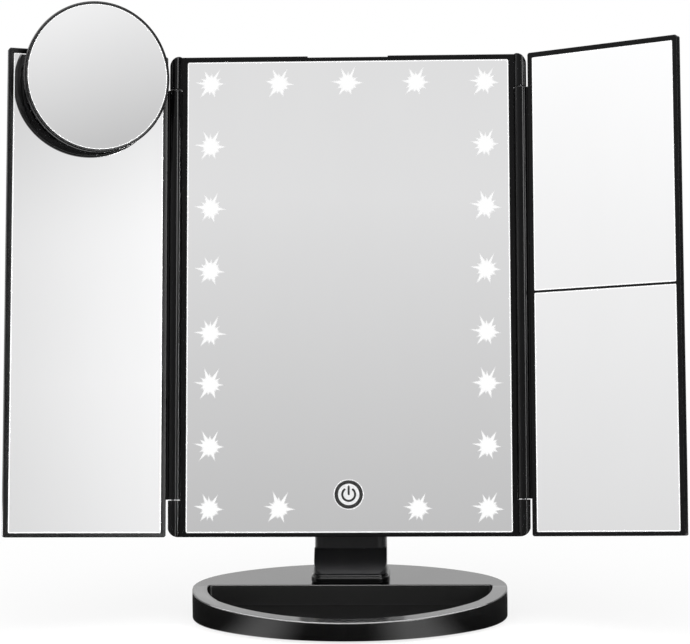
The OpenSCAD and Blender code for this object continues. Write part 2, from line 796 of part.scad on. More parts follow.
module wing_back(divided) {
    difference() {
        union() {
            // rear panel with rounded rear edges
            intersection() {
                wing_slab(wing_u, wing_w, 0, head_h, 1.2, ring_v, wing_v);
                linear_extrude(head_h) {
                    square([wing_w - wing_edge_r, wing_v]);
                    square([wing_w, wing_v - wing_edge_r]);
                    translate([wing_w - wing_edge_r, wing_v - wing_edge_r]) circle(wing_edge_r);
                }
                rotate([90, 0, 90]) linear_extrude(wing_w) {
                    square([wing_v - wing_edge_r, head_h]);
                    translate([0, wing_edge_r]) square([wing_v, head_h - 2 * wing_edge_r]);
                    for (z = [wing_edge_r, head_h - wing_edge_r])
                        translate([wing_v - wing_edge_r, z]) circle(wing_edge_r);
                }
            }
            // seat of the glass inside the frame
            mirror_seats(divided);
            // hinge barrel and the web that joins it to the panel
            translate([0, 0, barrel_z0]) cylinder(r = barrel_r, h = barrel_z1 - barrel_z0);
            translate([0, 0, barrel_z0]) linear_extrude(barrel_z1 - barrel_z0)
                polygon([[0, 0], [wing_u - fit, wing_glass_v], [wing_u - fit, ring_v], [wing_u + 2, ring_v],
                         [wing_u + 2, wing_v], [wing_u - 0.4, wing_v], [0, barrel_r]]);
        }
        translate([0, 0, barrel_z0 - 1]) cylinder(r = pin_r + fit, h = pin_reach + 3);
        translate([0, 0, barrel_z1 - pin_reach - 2]) cylinder(r = pin_r + fit, h = pin_reach + 3);
    }
}

module mirror_seats(divided) {
    back = wing_glass_v + wing_glass_t;
    if (divided) {
        glass_slab(glass_z0, split_z - divider_w / 2, 0.2, back, ring_v + 0.5);
        glass_slab(split_z + divider_w / 2, glass_z1, 0.2, back, ring_v + 0.5);
    } else
        glass_slab(glass_z0, glass_z1, 0.2, back, ring_v + 0.5);
}

// Slab of a wing mirror's outline between two heights, drawn in by d
module glass_slab(z0, z1, d, v0, v1) {
    wing_slab(wing_glass_u0 + d, wing_glass_u1 - d, z0 + d, z1 - d, 0.5, v0, v1);
}

module wing_glass(z0, z1) {
    glass_slab(z0, z1, glass_fit, wing_glass_v, wing_glass_v + wing_glass_t);
}

module left_wing_frame() { color(black) on_wing(-1) wing_frame(false); }
module left_wing_back() { color(black) on_wing(-1) wing_back(false); }
module left_wing_mirror() { color(silver) on_wing(-1) wing_glass(glass_z0, glass_z1); }
module right_wing_frame() { color(black) on_wing(1) wing_frame(true); }
module right_wing_back() { color(black) on_wing(1) wing_back(true); }
module lower_wing_mirror() { color(silver) on_wing(1) wing_glass(glass_z0, split_z - divider_w / 2); }
module upper_wing_mirror() {
    color(silver) on_wing(1) wing_glass(split_z + divider_w / 2, glass_z1);
}

// ---- spot mirror, on the left wing ----

// Frame of the round mirror on the wing's glass: +X outward, +Y up, +Z towards the user
module on_spot() {
    on_wing(-1) translate([spot_u, wing_glass_v, spot_z]) rotate([90, 0, 0]) children();
}

// The same, with its origin in the middle of the housing's rear face and its +Z along the housing
module on_housing() {
    on_spot() translate([0, 0, spot_gap]) rotate([spot_nod, -spot_turn, 0]) children();
}

// Turned from the housing's rear face (z = 0) to its front (z = spot_d)
module spot_housing() {
    color(black) on_housing() difference() {
        rotate_extrude() polygon([[0, 0], [spot_r - 5, 0], [spot_r - 1.5, 1.2], [spot_r - 0.3, 2.6],
                                  [spot_r - 0.3, 3.4], [spot_r - 0.8, 3.6], [spot_r - 0.8, 4.2],
                                  [spot_r, 4.4], [spot_r, spot_d - 0.3], [spot_r - 0.3, spot_d],
                                  [0, spot_d]]);
        translate([0, 0, spot_d - 2.3]) cylinder(r = spot_r - spot_rim_w, h = 5);
        for (s = [-1, 1]) translate([s * cup_x, -cup_drop, -1]) cylinder(r = stem_r + fit, h = 2.5);
    }
}

module spot_mirror() {
    color(silver) on_housing() translate([0, 0, spot_d - 2.3])
        cylinder(r = spot_r - spot_rim_w - glass_fit, h = 2);
}

module suction_cups() {
    color(dark) for (s = [-1, 1]) {
        on_spot() translate(stem_root(s) - stem_l(s) * spot_axis - [0, 0, cup_top])
            rotate_extrude() polygon([[0, 1.2], [cup_r - 2.5, 0.05], [cup_r, 0.05], [cup_r, 0.5],
                                      [cup_r - 4, 2], [cup_neck_r + 0.6, 2.9], [0, 2.9]]);
        on_housing() translate([s * cup_x, -cup_drop, 0]) {
            translate([0, 0, -stem_l(s)]) cylinder(r = cup_neck_r, h = stem_l(s) - 0.02);
            translate([0, 0, -1]) cylinder(r = stem_r, h = 2.4);
        }
    }
}

base_shell();
base_bottom_cover();
ballast_weight();
rubber_feet();
base_screws();
neck_column();
neck_collar();
neck_screws();
tilt_shaft();
tilt_nut();
friction_washers();
shaft_caps();
front_frame();
rear_cover();
cover_screws();
centre_mirror();
led_windows();
touch_window();
led_board();
leds();
touch_board();
control_board();
usb_socket();
battery_box();
battery_cells();
battery_contacts();
battery_door();
wing_hinge_pins();
left_wing_frame();
left_wing_back();
left_wing_mirror();
right_wing_frame();
right_wing_back();
upper_wing_mirror();
lower_wing_mirror();
spot_housing();
spot_mirror();
suction_cups();
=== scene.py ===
"""Looks of the trifold vanity mirror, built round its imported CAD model.

Lengths are in metres, unless a name or a comment says mm.
"""
import math
import random

import bmesh
import bpy
from mathutils import Matrix, Vector


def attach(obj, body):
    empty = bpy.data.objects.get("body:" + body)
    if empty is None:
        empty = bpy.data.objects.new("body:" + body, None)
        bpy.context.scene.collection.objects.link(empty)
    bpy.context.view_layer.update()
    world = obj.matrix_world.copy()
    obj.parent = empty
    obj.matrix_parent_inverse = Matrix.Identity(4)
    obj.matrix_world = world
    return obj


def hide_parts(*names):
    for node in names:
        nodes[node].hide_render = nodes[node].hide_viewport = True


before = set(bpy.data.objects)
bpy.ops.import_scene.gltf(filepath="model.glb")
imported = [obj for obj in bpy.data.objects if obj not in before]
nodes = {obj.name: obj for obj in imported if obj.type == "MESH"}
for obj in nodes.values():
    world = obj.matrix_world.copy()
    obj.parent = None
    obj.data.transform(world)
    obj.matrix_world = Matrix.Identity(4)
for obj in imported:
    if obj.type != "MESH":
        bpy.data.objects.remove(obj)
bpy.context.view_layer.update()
MM = 0.001

# ---- places, in the part's own sizes (mm) ----
AXIS_Y, AXIS_Z = 22.8, 48.0            # tilt axis of the head
AXIS_BACK, AXIS_UP = 26.0, 12.0        # the same axis in the panel's frame
LEAN = math.radians(10)                # backward tilt of the panel
HINGE_X, HINGE_Y = 86.0, -0.45         # hinge axes of the wings, in the panel's frame
LEFT_SWING, RIGHT_SWING = math.radians(20), math.radians(29)
GLASS_X, GLASS_Z0, GLASS_Z1 = 80.1, 2.1, 236.7
WING_U0, WING_U1, WING_GLASS_V = 6.4, 81.5, 0.4
SPLIT_Z, DIVIDER_W = 119.65, 1.2
LIGHT_X, LIGHT_Z0, LIGHT_STEPS = 68.4, 13.8, (0, 30.4, 61.1, 86.6, 117.7, 149, 180.2, 211.7)
TOUCH_Z = 20.7
SPOT_U, SPOT_Z, SPOT_GAP = 42.75, 225.3, 6.7          # round mirror's housing on the left wing
SPOT_TURN, SPOT_NOD = math.radians(6), math.radians(5.5)
SPOT_FACE, SPOT_GLASS_R, SPOT_LIP_R = 6.2, 35.95, 36.35    # its glass, from the housing's rear, and the lip
SPOT_BOW = 0.75                                            # depth of that glass's hollow


def head(x, y, z):
    """A point of the panel's frame (mm) in the part's frame (m)."""
    dy, dz = y - AXIS_BACK, z - AXIS_UP
    return Vector((x, AXIS_Y + dy * math.cos(LEAN) + dz * math.sin(LEAN),
                   AXIS_Z - dy * math.sin(LEAN) + dz * math.cos(LEAN))) * MM


def wing(side, u, v, z):
    """A point of a wing's frame (mm) in the part's frame (m); side is -1 for the left wing."""
    a = LEFT_SWING if side < 0 else RIGHT_SWING
    return head(side * (HINGE_X + u * math.cos(a) + v * math.sin(a)),
                HINGE_Y - u * math.sin(a) + v * math.cos(a), z)


def spot(x, y, z):
    """A point of the round mirror's housing in the part's frame (m).

    x, y and z are mm outward, up and towards the user.
    """
    y, z = (y * math.cos(SPOT_NOD) - z * math.sin(SPOT_NOD),
            y * math.sin(SPOT_NOD) + z * math.cos(SPOT_NOD))
    x, z = (x * math.cos(SPOT_TURN) - z * math.sin(SPOT_TURN),
            x * math.sin(SPOT_TURN) + z * math.cos(SPOT_TURN))
    return wing(-1, SPOT_U + x, WING_GLASS_V - SPOT_GAP - z, SPOT_Z + y)


# ---- materials ----
class Graph:
    """Arithmetic on a node tree."""

    def __init__(self, tree):
        self.tree = tree

    def node(self, kind, **settings):
        n = self.tree.nodes.new(kind)
        for key, value in settings.items():
            setattr(n, key, value)
        return n

    def put(self, socket, value):
        if isinstance(value, (int, float)):
            socket.default_value = value
        else:
            self.tree.links.new(value, socket)

    def maths(self, op, a, b=0.0):
        n = self.node("ShaderNodeMath", operation=op)
        self.put(n.inputs[0], a)
        self.put(n.inputs[1], b)
        return n.outputs[0]

    def ramp(self, value, a, b, low, high, kind="LINEAR"):
        """value from a..b to low..high, held at the ends."""
        n = self.node("ShaderNodeMapRange", clamp=True, interpolation_type=kind)
        for socket, v in zip(n.inputs, (value, a, b, low, high)):
            self.put(socket, v)
        return n.outputs[0]

    def times(self, *values):
        out = values[0]
        for v in values[1:]:
            out = self.maths("MULTIPLY", out, v)
        return out

    def blend(self, factor, a, b):
        """a where factor is 0, b where it is 1."""
        return self.maths("ADD", self.times(self.maths("SUBTRACT", 1.0, factor), a),
                          self.times(factor, b))

    def window(self, value, low, high, soft):
        """1 from low to high, fading to 0 over soft outside."""
        return self.times(self.ramp(value, low - soft, low, 0.0, 1.0, "SMOOTHSTEP"),
                          self.ramp(value, high, high + soft, 1.0, 0.0, "SMOOTHSTEP"))

    def azimuth(self, x, y):
        """Degrees from -Y, positive towards +X."""
        return self.times(self.maths("ARCTAN2", x, self.times(y, -1.0)), 180 / math.pi)


class Shader(Graph):
    """A material built up node by node."""

    def __init__(self, name, **sockets):
        self.mat = bpy.data.materials.new("look_" + name)
        self.mat.use_nodes = True
        super().__init__(self.mat.node_tree)
        self.tree.nodes.clear()
        self.out = self.add("ShaderNodeOutputMaterial")
        self.bsdf = self.add("ShaderNodeBsdfPrincipled", **sockets)
        self.link(self.bsdf, "BSDF", self.out, "Surface")
        self.coords = self.add("ShaderNodeTexCoord")

    def add(self, kind, settings=(), **sockets):
        n = self.tree.nodes.new(kind)
        for key, value in dict(settings).items():
            setattr(n, key, value)
        for key, value in sockets.items():
            n.inputs[key.replace("_", " ")].default_value = value
        return n

    def link(self, a, out, b, into):
        self.tree.links.new(a.outputs[out], b.inputs[into])

    def noise(self, scale, detail=3.0, roughness=0.5, stretch=None):
        n = self.add("ShaderNodeTexNoise", Scale=scale, Detail=detail, Roughness=roughness)
        if stretch:
            m = self.add("ShaderNodeMapping", Scale=stretch)
            self.link(self.coords, "Object", m, "Vector")
            self.link(m, "Vector", n, "Vector")
        else:
            self.link(self.coords, "Object", n, "Vector")
        return n

    def vary(self, source, out, socket, low, high, start=0.3, end=0.7):
        """Maps a texture's start to end onto low to high, into a socket of the surface."""
        m = self.add("ShaderNodeMapRange", {"clamp": True})
        for key, value in (("From Min", start), ("From Max", end), ("To Min", low), ("To Max", high)):
            m.inputs[key].default_value = value
        self.link(source, out, m, "Value")
        self.link(m, "Result", self.bsdf, socket)

    def tint(self, source, out, low, high, start=0.3, end=0.7):
        """Base colour between two colours by a texture."""
        r = self.add("ShaderNodeValToRGB")
        r.color_ramp.elements[0].position, r.color_ramp.elements[1].position = start, end
        r.color_ramp.elements[0].color, r.color_ramp.elements[1].color = (*low, 1), (*high, 1)
        self.link(source, out, r, "Fac")
        self.link(r, "Color", self.bsdf, "Base Color")

    def bump(self, *layers, edge=0.0):
        """Bump from (texture, out, strength, distance) layers; edge rounds corners by that radius."""
        below = None
        if edge:
            below = self.add("ShaderNodeBevel", {"samples": 6}, Radius=edge)
        for source, out, strength, distance in layers:
            b = self.add("ShaderNodeBump", Strength=strength, Distance=distance)
            self.link(source, out, b, "Height")
            if below:
                self.link(below, "Normal", b, "Normal")
            below = b
        self.link(below, "Normal", self.bsdf, "Normal")


def moulded(name, low, high, rough, grain, strength, ior=1.45, edge=0.00035):
    """Moulded plastic: grain of the tool, slight flow marks, and wiped patches that shine differently."""
    s = Shader(name, IOR=ior)
    cloud, fine = s.noise(38, 4), s.noise(grain, 2, 0.6)
    flow = s.noise(16, 3, 0.5, (1, 1, 7))
    s.tint(cloud, "Fac", low, high)
    s.vary(cloud, "Fac", "Roughness", *rough)
    s.bump((fine, "Fac", strength, 0.00004), (flow, "Fac", strength * 0.6, 0.00012), edge=edge)
    return s.mat


gloss = moulded("gloss_black", (0.0016, 0.0016, 0.0018), (0.0026, 0.0026, 0.0029),
                rough=(0.13, 0.19), grain=1500, strength=0.02, ior=1.24, edge=0)
neck_black = moulded("neck_black", (0.014, 0.014, 0.015), (0.019, 0.019, 0.02),
                     rough=(0.36, 0.42), grain=1500, strength=0.06, ior=1.3, edge=0)
collar_black = moulded("collar_black", (0.001, 0.001, 0.0011), (0.0018, 0.0018, 0.002),
                       rough=(0.2, 0.26), grain=1500, strength=0.03, ior=1.3, edge=0)
satin = moulded("satin_black", (0.012, 0.012, 0.013), (0.019, 0.019, 0.02),
                rough=(0.34, 0.44), grain=3000, strength=0.3)
deep = moulded("satin_deep", (0.009, 0.009, 0.01), (0.014, 0.014, 0.015),
               rough=(0.3, 0.4), grain=3000, strength=0.25)

TRAY_FLOOR_BELOW = 0.0075                  # height under which the base's upward faces are the tray's floor
TRAY_WALL_Y, TRAY_WALL_NEAR = 0.003, 0.001
FACING = 0.8                               # least share of a normal along the way that a face looks


def base_material():
    """Gloss plastic of the base; the tray's floor is painted darker as shade in its recess, and its rear
    wall painted lighter as if lit, each with a gloss of its own.
    """
    s = Shader("gloss_base", IOR=1.45)
    cloud, fine = s.noise(38, 4), s.noise(1500, 2, 0.6)
    place, facing = s.node("ShaderNodeSeparateXYZ"), s.node("ShaderNodeSeparateXYZ")
    s.put(place.inputs[0], s.coords.outputs["Object"])
    s.put(facing.inputs[0], s.node("ShaderNodeNewGeometry").outputs["Normal"])
    low = s.maths("LESS_THAN", place.outputs["Z"], TRAY_FLOOR_BELOW)
    shaded_tray_floor = s.times(low, s.maths("GREATER_THAN", facing.outputs["Z"], FACING))
    off_wall = s.maths("ABSOLUTE", s.maths("SUBTRACT", place.outputs["Y"], TRAY_WALL_Y))
    near_wall = s.maths("LESS_THAN", off_wall, TRAY_WALL_NEAR)
    lit_tray_wall = s.times(near_wall, s.maths("LESS_THAN", facing.outputs["Y"], -FACING))
    shade = s.ramp(cloud.outputs["Fac"], 0.3, 0.7, 0.003, 0.0045)
    # painted shade: the tray's floor darkened to 0.0008 in its recess; painted light: the tray's rear wall
    # lightened to 0.006
    shade = s.blend(lit_tray_wall, s.blend(shaded_tray_floor, shade, 0.0008), 0.006)
    s.put(s.bsdf.inputs["Base Color"], shade)
    rough = s.ramp(cloud.outputs["Fac"], 0.3, 0.7, 0.15, 0.2)
    s.put(s.bsdf.inputs["Roughness"], s.blend(lit_tray_wall, s.blend(shaded_tray_floor, rough, 0.12), 0.36))
    s.bump((fine, "Fac", 0.02, 0.00004))
    return s.mat


gloss_base = base_material()


def mirror_material(name, tone, rough):
    """Silvered glass: near perfect, with the faint haze that wiping leaves."""
    s = Shader(name, Metallic=1.0, IOR=1.5)
    haze = s.noise(22, 5, 0.6, (1, 1, 0.35))
    s.tint(haze, "Fac", [c * 0.985 for c in tone], tone)
    s.vary(haze, "Fac", "Roughness", *rough, start=0.45, end=0.75)
    return s.mat


mirror = mirror_material("mirror", (0.955, 0.955, 0.96), (0.0, 0.012))

SPREAD = 0.12      # how far the colour of a simple material wanders


def simple(name, colour, rough, scale, metallic=0.0, strength=0.1, stretch=None):
    """Colour and gloss that both wander a little, with a fine bump."""
    s = Shader(name, Metallic=metallic, IOR=1.45)
    cloud, fine = s.noise(scale, 4, 0.55, stretch), s.noise(scale * 9, 3)
    s.tint(cloud, "Fac", [c * (1 - SPREAD) for c in colour], [min(1, c * (1 + SPREAD)) for c in colour])
    s.vary(cloud, "Fac", "Roughness", rough * 0.85, rough * 1.15)
    s.bump((fine, "Fac", strength, 0.00005))
    return s.mat


rubber = simple("rubber", (0.022, 0.022, 0.022), 0.7, 300, strength=0.5)
cup = simple("cup_rubber", (0.15, 0.15, 0.16), 0.3, 160)
steel = simple("steel", (0.55, 0.55, 0.57), 0.3, 260, metallic=1.0, stretch=(6, 1, 1))
brass = simple("washer_brass", (0.7, 0.55, 0.28), 0.32, 260, metallic=1.0)
board = simple("board", (0.03, 0.13, 0.07), 0.45, 120)
wrap = simple("cell_wrap", (0.1, 0.2, 0.24), 0.28, 90)
contact = simple("contact", (0.62, 0.6, 0.55), 0.28, 300, metallic=1.0)
ink = simple("print_black", (0.006, 0.006, 0.006), 0.4, 600)


def frosted(name, colour, glow):
    """A spot of the glass without silvering, lit from behind."""
    s = Shader(name, IOR=1.5)
    grain = s.noise(2400, 2)
    s.tint(grain, "Fac", [c * 0.96 for c in colour], colour)
    s.vary(grain, "Fac", "Roughness", 0.4, 0.6)
    s.bsdf.inputs["Emission Color"].default_value = (1, 1, 0.99, 1)
    s.bsdf.inputs["Emission Strength"].default_value = glow
    return s.mat


window = frosted("frosted_window", (0.93, 0.93, 0.92), 0.6)
touch_glow = frosted("touch_window", (0.7, 0.7, 0.71), 0.12)

FINISH = {
    gloss: ("front_frame", "left_wing_frame", "right_wing_frame", "left_wing_back", "right_wing_back",
            "spot_housing", "shaft_caps"),
    gloss_base: ("base_shell",),
    neck_black: ("neck_column",),
    collar_black: ("neck_collar",),
    satin: ("rear_cover", "battery_door"),
    deep: ("base_bottom_cover", "battery_box"),
    mirror: ("centre_mirror", "left_wing_mirror", "upper_wing_mirror", "lower_wing_mirror", "spot_mirror"),
    window: ("led_windows", "leds"),
    touch_glow: ("touch_window",),
    rubber: ("rubber_feet",),
    cup: ("suction_cups",),
    steel: ("ballast_weight", "base_screws", "neck_screws", "tilt_shaft", "tilt_nut", "cover_screws",
            "usb_socket", "wing_hinge_pins"),
    contact: ("battery_contacts",),
    brass: ("friction_washers",),
    board: ("led_board", "touch_board", "control_board"),
    wrap: ("battery_cells",),
}
for mat, names in FINISH.items():
    for n in names:
        data = nodes[n].data
        data.materials.clear()
        data.materials.append(mat)


# ---- pieces ----
def piece(name, mesh, mat, body, replaced=()):
    """A new object from a bmesh or mesh, riding on a body."""
    if isinstance(mesh, bmesh.types.BMesh):
        bmesh.ops.recalc_face_normals(mesh, faces=mesh.faces)
        data = bpy.data.meshes.new(name)
        mesh.to_mesh(data)
        mesh.free()
    else:
        data = mesh
    data.materials.clear()
    data.materials.append(mat)
    o = bpy.data.objects.new(name, data)
    bpy.context.scene.collection.objects.link(o)
    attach(o, body)
    if replaced:
        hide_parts(*replaced)
    return o


SMOOTH_TO = math.radians(35)     # edges flatter than this are shaded smooth
SHARP = math.radians(40)         # outer edges sharper than this are rounded


def smooth(o):
    """Shades smooth, with sharp edges kept."""
    for p in o.data.polygons:
        p.use_smooth = True
    bm = bmesh.new()
    bm.from_mesh(o.data)
    for e in bm.edges:
        e.smooth = len(e.link_faces) != 2 or e.calc_face_angle(0) < SMOOTH_TO
    bm.to_mesh(o.data)
    bm.free()


def softened(node, width, mat, body, clamp):
    """A moulding's own form with its outer edges rounded as a mould leaves them."""
    bm = bmesh.new()
    bm.from_mesh(nodes[node].data)
    bmesh.ops.remove_doubles(bm, verts=bm.verts, dist=2e-6)
    bmesh.ops.dissolve_limit(bm, angle_limit=math.radians(0.6), verts=bm.verts, edges=bm.edges)
    sharp = [e for e in bm.edges
             if len(e.link_faces) == 2 and e.is_convex and e.calc_face_angle(0) > SHARP]
    bmesh.ops.bevel(bm, geom=sharp, offset=width, offset_type="OFFSET", segments=3, profile=0.5,
                    affect="EDGES", clamp_overlap=clamp)
    data = bpy.data.meshes.new(node + "_moulding")
    bm.to_mesh(data)
    bm.free()
    o = piece(node + "_moulding", data, mat, body, (node,))
    smooth(o)
    w = o.modifiers.new("normals", "WEIGHTED_NORMAL")
    w.keep_sharp, w.weight = True, 80


SOFT = (  # node, rounding, finish, body
    ("base_shell", 0.0006, gloss_base, "base"),
    ("neck_column", 0.0008, neck_black, "base"),
    ("neck_collar", 0.0009, collar_black, "base"),
    ("front_frame", 0.00025, gloss, "panel"),
    ("rear_cover", 0.0004, satin, "panel"),
    ("battery_door", 0.0003, satin, "battery_door"),
    ("left_wing_frame", 0.0004, gloss, "left_wing"),
    ("left_wing_back", 0.0004, gloss, "left_wing"),
    ("right_wing_frame", 0.0003, gloss, "right_wing"),
    ("right_wing_back", 0.0003, gloss, "right_wing"),
    ("spot_housing", 0.0003, gloss, "spot"),
)
CLAMPED = ("neck_column",)     # its narrow faces leave no room for the full rounding
for node, width, mat, body in SOFT:
    softened(node, width, mat, body, node in CLAMPED)


# ---- thin bright line at the ground edge of each mirror: pale ground glass with a painted highlight that glows ----
edge_s = Shader("ground_edge_painted_glow", IOR=1.5)
edge_noise = edge_s.noise(900, 3)
edge_s.tint(edge_noise, "Fac", (0.86, 0.87, 0.87), (0.97, 0.97, 0.97))
edge_s.vary(edge_noise, "Fac", "Roughness", 0.25, 0.4)
# painted highlight: the edge glows though it is no lamp, standing in for the light its bevel reflects
edge_s.bsdf.inputs["Emission Color"].default_value = (1, 1, 1, 1)
edge_s.bsdf.inputs["Emission Strength"].default_value = 0.28
edge_mat = edge_s.mat
EDGE_W, EDGE_RISE = 0.5, 0.04                  # mm
EDGE_CORNER, EDGE_INNER_CORNER = 0.6, 0.25     # mm


def ribbon(bm, outer, inner, lift):
    """A closed band between two loops of points, with a crowned face raised by lift (a vector)."""
    n = len(outer)
    rings = []
    for t, h in ((0, 0), (0, 0.6), (0.5, 1), (1, 0.6), (1, 0)):
        rings.append([bm.verts.new(o.lerp(i, t) + lift * h) for o, i in zip(outer, inner)])
    for r0, r1 in zip(rings, rings[1:] + rings[:1]):
        for k in range(n):
            bm.faces.new((r0[k], r0[(k + 1) % n], r1[(k + 1) % n], r1[k]))


def rect_loop(place, u0, u1, z0, z1, r, steps=6):
    """Points round a rectangle with rounded corners, laid out by place(u, z)."""
    pts = []
    corners = ((u1 - r, z1 - r, 0), (u0 + r, z1 - r, 90), (u0 + r, z0 + r, 180), (u1 - r, z0 + r, 270))
    for cu, cz, a0 in corners:
        for k in range(steps + 1):
            a = math.radians(a0 + 90 * k / steps)
            pts.append(place(cu + r * math.cos(a), cz + r * math.sin(a)))
    return pts


def edge_line(name, place, normal, body, u0, u1, z0, z1):
    bm = bmesh.new()
    inner = (u0 + EDGE_W, u1 - EDGE_W, z0 + EDGE_W, z1 - EDGE_W)
    ribbon(bm, rect_loop(place, u0, u1, z0, z1, EDGE_CORNER), rect_loop(place, *inner, EDGE_INNER_CORNER),
           normal * EDGE_RISE * MM)
    piece(name, bm, edge_mat, body)


def toward(side):
    """Unit vector out of a wing's glass, towards the user."""
    return (wing(side, 0, -1, 0) - wing(side, 0, 0, 0)).normalized()


front = (head(0, -1, 0) - head(0, 0, 0)).normalized()
edge_line("centre_mirror_edge", lambda u, z: head(u, 0, z), front, "panel",
          -GLASS_X, GLASS_X, GLASS_Z0, GLASS_Z1)
for name, side, z0, z1 in (("left_mirror_edge", -1, GLASS_Z0, GLASS_Z1),
                           ("lower_mirror_edge", 1, GLASS_Z0, SPLIT_Z - DIVIDER_W / 2),
                           ("upper_mirror_edge", 1, SPLIT_Z + DIVIDER_W / 2, GLASS_Z1)):
    edge_line(name, lambda u, z, s=side: wing(s, u, WING_GLASS_V, z), toward(side),
              "left_wing" if side < 0 else "right_wing", WING_U0, WING_U1, z0, z1)

# ---- round magnifying mirror: a concave glass with a ground edge, in the housing's lip ----
SPOT_SIDES, HOLLOW_RINGS = 96, 12
SPOT_GLASS_EDGE_R = SPOT_GLASS_R - 0.01         # mm, clear of the housing's bore
SPOT_GLASS_BACK = 2.0                           # mm
LIP_INNER_R, EDGE_INNER_R = SPOT_GLASS_R - 0.4, SPOT_GLASS_R - 0.68
LIP_RISE, SPOT_EDGE_RISE = 0.12, 0.06           # mm


def spot_point(r, a, lift=0.0):
    """A point of the round mirror's face by radius and angle, lifted out of it by mm."""
    return spot(r * math.cos(a), r * math.sin(a), SPOT_FACE + lift)


def spot_loop(r, lift=0.0):
    """Points round the mirror's axis at a radius."""
    return [spot_point(r, 2 * math.pi * k / SPOT_SIDES, lift) for k in range(SPOT_SIDES)]


def spot_out(lift):
    """The vector that lifts a point out of the round mirror by mm."""
    return spot(0, 0, lift) - spot(0, 0, 0)


def turned(bm, profile):
    """A closed solid turned from (radius, lift) points, the first and last on the axis."""
    rings = []
    for r, lift in profile:
        places = [spot_point(0, 0, lift)] if r == 0 else spot_loop(r, lift)
        rings.append([bm.verts.new(p) for p in places])
    for a, b in zip(rings, rings[1:]):
        for k in range(SPOT_SIDES):
            quad = [a[k % len(a)], a[(k + 1) % len(a)], b[(k + 1) % len(b)], b[k % len(b)]]
            bm.faces.new(list(dict.fromkeys(quad)))


bm = bmesh.new()
hollow = [(SPOT_GLASS_R * k / HOLLOW_RINGS, -SPOT_BOW * (1 - (k / HOLLOW_RINGS) ** 2))
          for k in range(HOLLOW_RINGS)]
rear = [(SPOT_GLASS_EDGE_R, 0.0), (SPOT_GLASS_EDGE_R, -SPOT_GLASS_BACK), (0, -SPOT_GLASS_BACK)]
turned(bm, hollow + rear)
smooth(piece("spot_mirror_concave", bm, mirror, "spot", ("spot_mirror",)))
# the round mirror's ground edge, pale glass with the same glowing painted highlight
bm = bmesh.new()
ribbon(bm, spot_loop(LIP_INNER_R), spot_loop(EDGE_INNER_R), spot_out(SPOT_EDGE_RISE))
smooth(piece("spot_mirror_edge", bm, edge_mat, "spot"))
bm = bmesh.new()
ribbon(bm, spot_loop(SPOT_LIP_R), spot_loop(LIP_INNER_R), spot_out(LIP_RISE))
smooth(piece("spot_lip", bm, gloss, "spot"))

# ---- lights: each window's glare on the glass, a hot core with rays that fade out ----
RAYS = (  # direction (degrees), length (mm) and relative width: six long ones, then six short ones
    (172, 8.8, 0.9), (-2, 8.3, 0.9), (113, 9.4, 1.0), (62, 10.2, 0.9), (-128, 9.2, 1.1), (-73, 7.7, 1.0),
    (90, 6.6, 0.6), (35, 6.2, 0.6), (147, 6.4, 0.6), (-30, 6.0, 0.6), (-100, 6.0, 0.6), (-155, 6.2, 0.6))
CORE_R, RAY_BASE, RAY_START, RAY_FADE = 4.5, 0.95, 3.5, 6.0     # mm
RIM_START = 0.55                           # share of the reach where the edge starts to fade
GLARE_FOOT, GLARE_LIFT = 0.012, 0.02       # mm in front of the glass, and thickness
STEPS, SHELLS = 180, (0.0, 0.3, 0.55, 0.64, 0.73, 0.82, 0.91, 1.0)


def light_places():
    """(x, z) of the lights on the glass, in mm."""
    for side in (-1, 1):
        for dz in LIGHT_STEPS:
            yield side * LIGHT_X, LIGHT_Z0 + dz
    for k in (1, 2, 3):
        yield -LIGHT_X + k * LIGHT_X / 2, LIGHT_Z0 + LIGHT_STEPS[-1]
    for side in (-1, 1):
        yield side * LIGHT_X / 2, LIGHT_Z0


def glare_radius(angle, rays, wobble):
    """Reach of the glare in a direction: a round core with pointed rays standing on it."""
    r = CORE_R * (1 + wobble * math.sin(5 * angle) * 0.5 + wobble * math.cos(3 * angle))
    for direction, length, width in rays:
        off = math.radians(abs((math.degrees(angle) - direction + 180) % 360 - 180))
        tip = math.atan2(RAY_BASE * width, length - CORE_R)
        if off < math.pi / 2:
            r = max(r, length * math.sin(tip) / math.sin(tip + off))
    return r


def glare_fade(r, t):
    """0 where the glare is full, 1 where it is gone: fades along the rays and towards the edge."""
    along = max(0.0, (r - RAY_START) / RAY_FADE) ** 1.3
    rim = max(0.0, (t - RIM_START) / (1 - RIM_START))
    return min(1.0, max(along, rim * rim * (3 - 2 * rim)))


def glare_face(bm, x, z, reach, lift, fades):
    """One face of a glare, lifted by mm, as rings round its middle; returns the outermost ring."""
    rings = []
    for t in SHELLS:
        loop = []
        for k in range(STEPS if t else 1):
            r, a = reach[k] * t, 2 * math.pi * k / STEPS
            place = head(x + r * math.cos(a), -GLARE_FOOT - lift, z + r * math.sin(a))
            loop.append(bm.verts.new(place))
            fades.append(glare_fade(r, t))
        rings.append(loop)
    for inner, outer in zip(rings, rings[1:]):
        for k in range(STEPS):
            after = (k + 1) % STEPS
            quad = [inner[k % len(inner)], inner[after % len(inner)], outer[after], outer[k]]
            bm.faces.new(list(dict.fromkeys(quad)))
    return rings[-1]


rng = random.Random(21)
bm = bmesh.new()
fade_values = []
for x, z in light_places():
    rays = [(d + rng.uniform(-4, 4), l * rng.uniform(0.86, 1.08), w * rng.uniform(0.8, 1.2))
            for d, l, w in RAYS]
    wobble = rng.uniform(0.02, 0.05)
    reach = [glare_radius(2 * math.pi * k / STEPS, rays, wobble) for k in range(STEPS)]
    low, high = [glare_face(bm, x, z, reach, lift, fade_values) for lift in (0.0, GLARE_LIFT)]
    for k in range(STEPS):
        after = (k + 1) % STEPS
        bm.faces.new((low[k], low[after], high[after], high[k]))

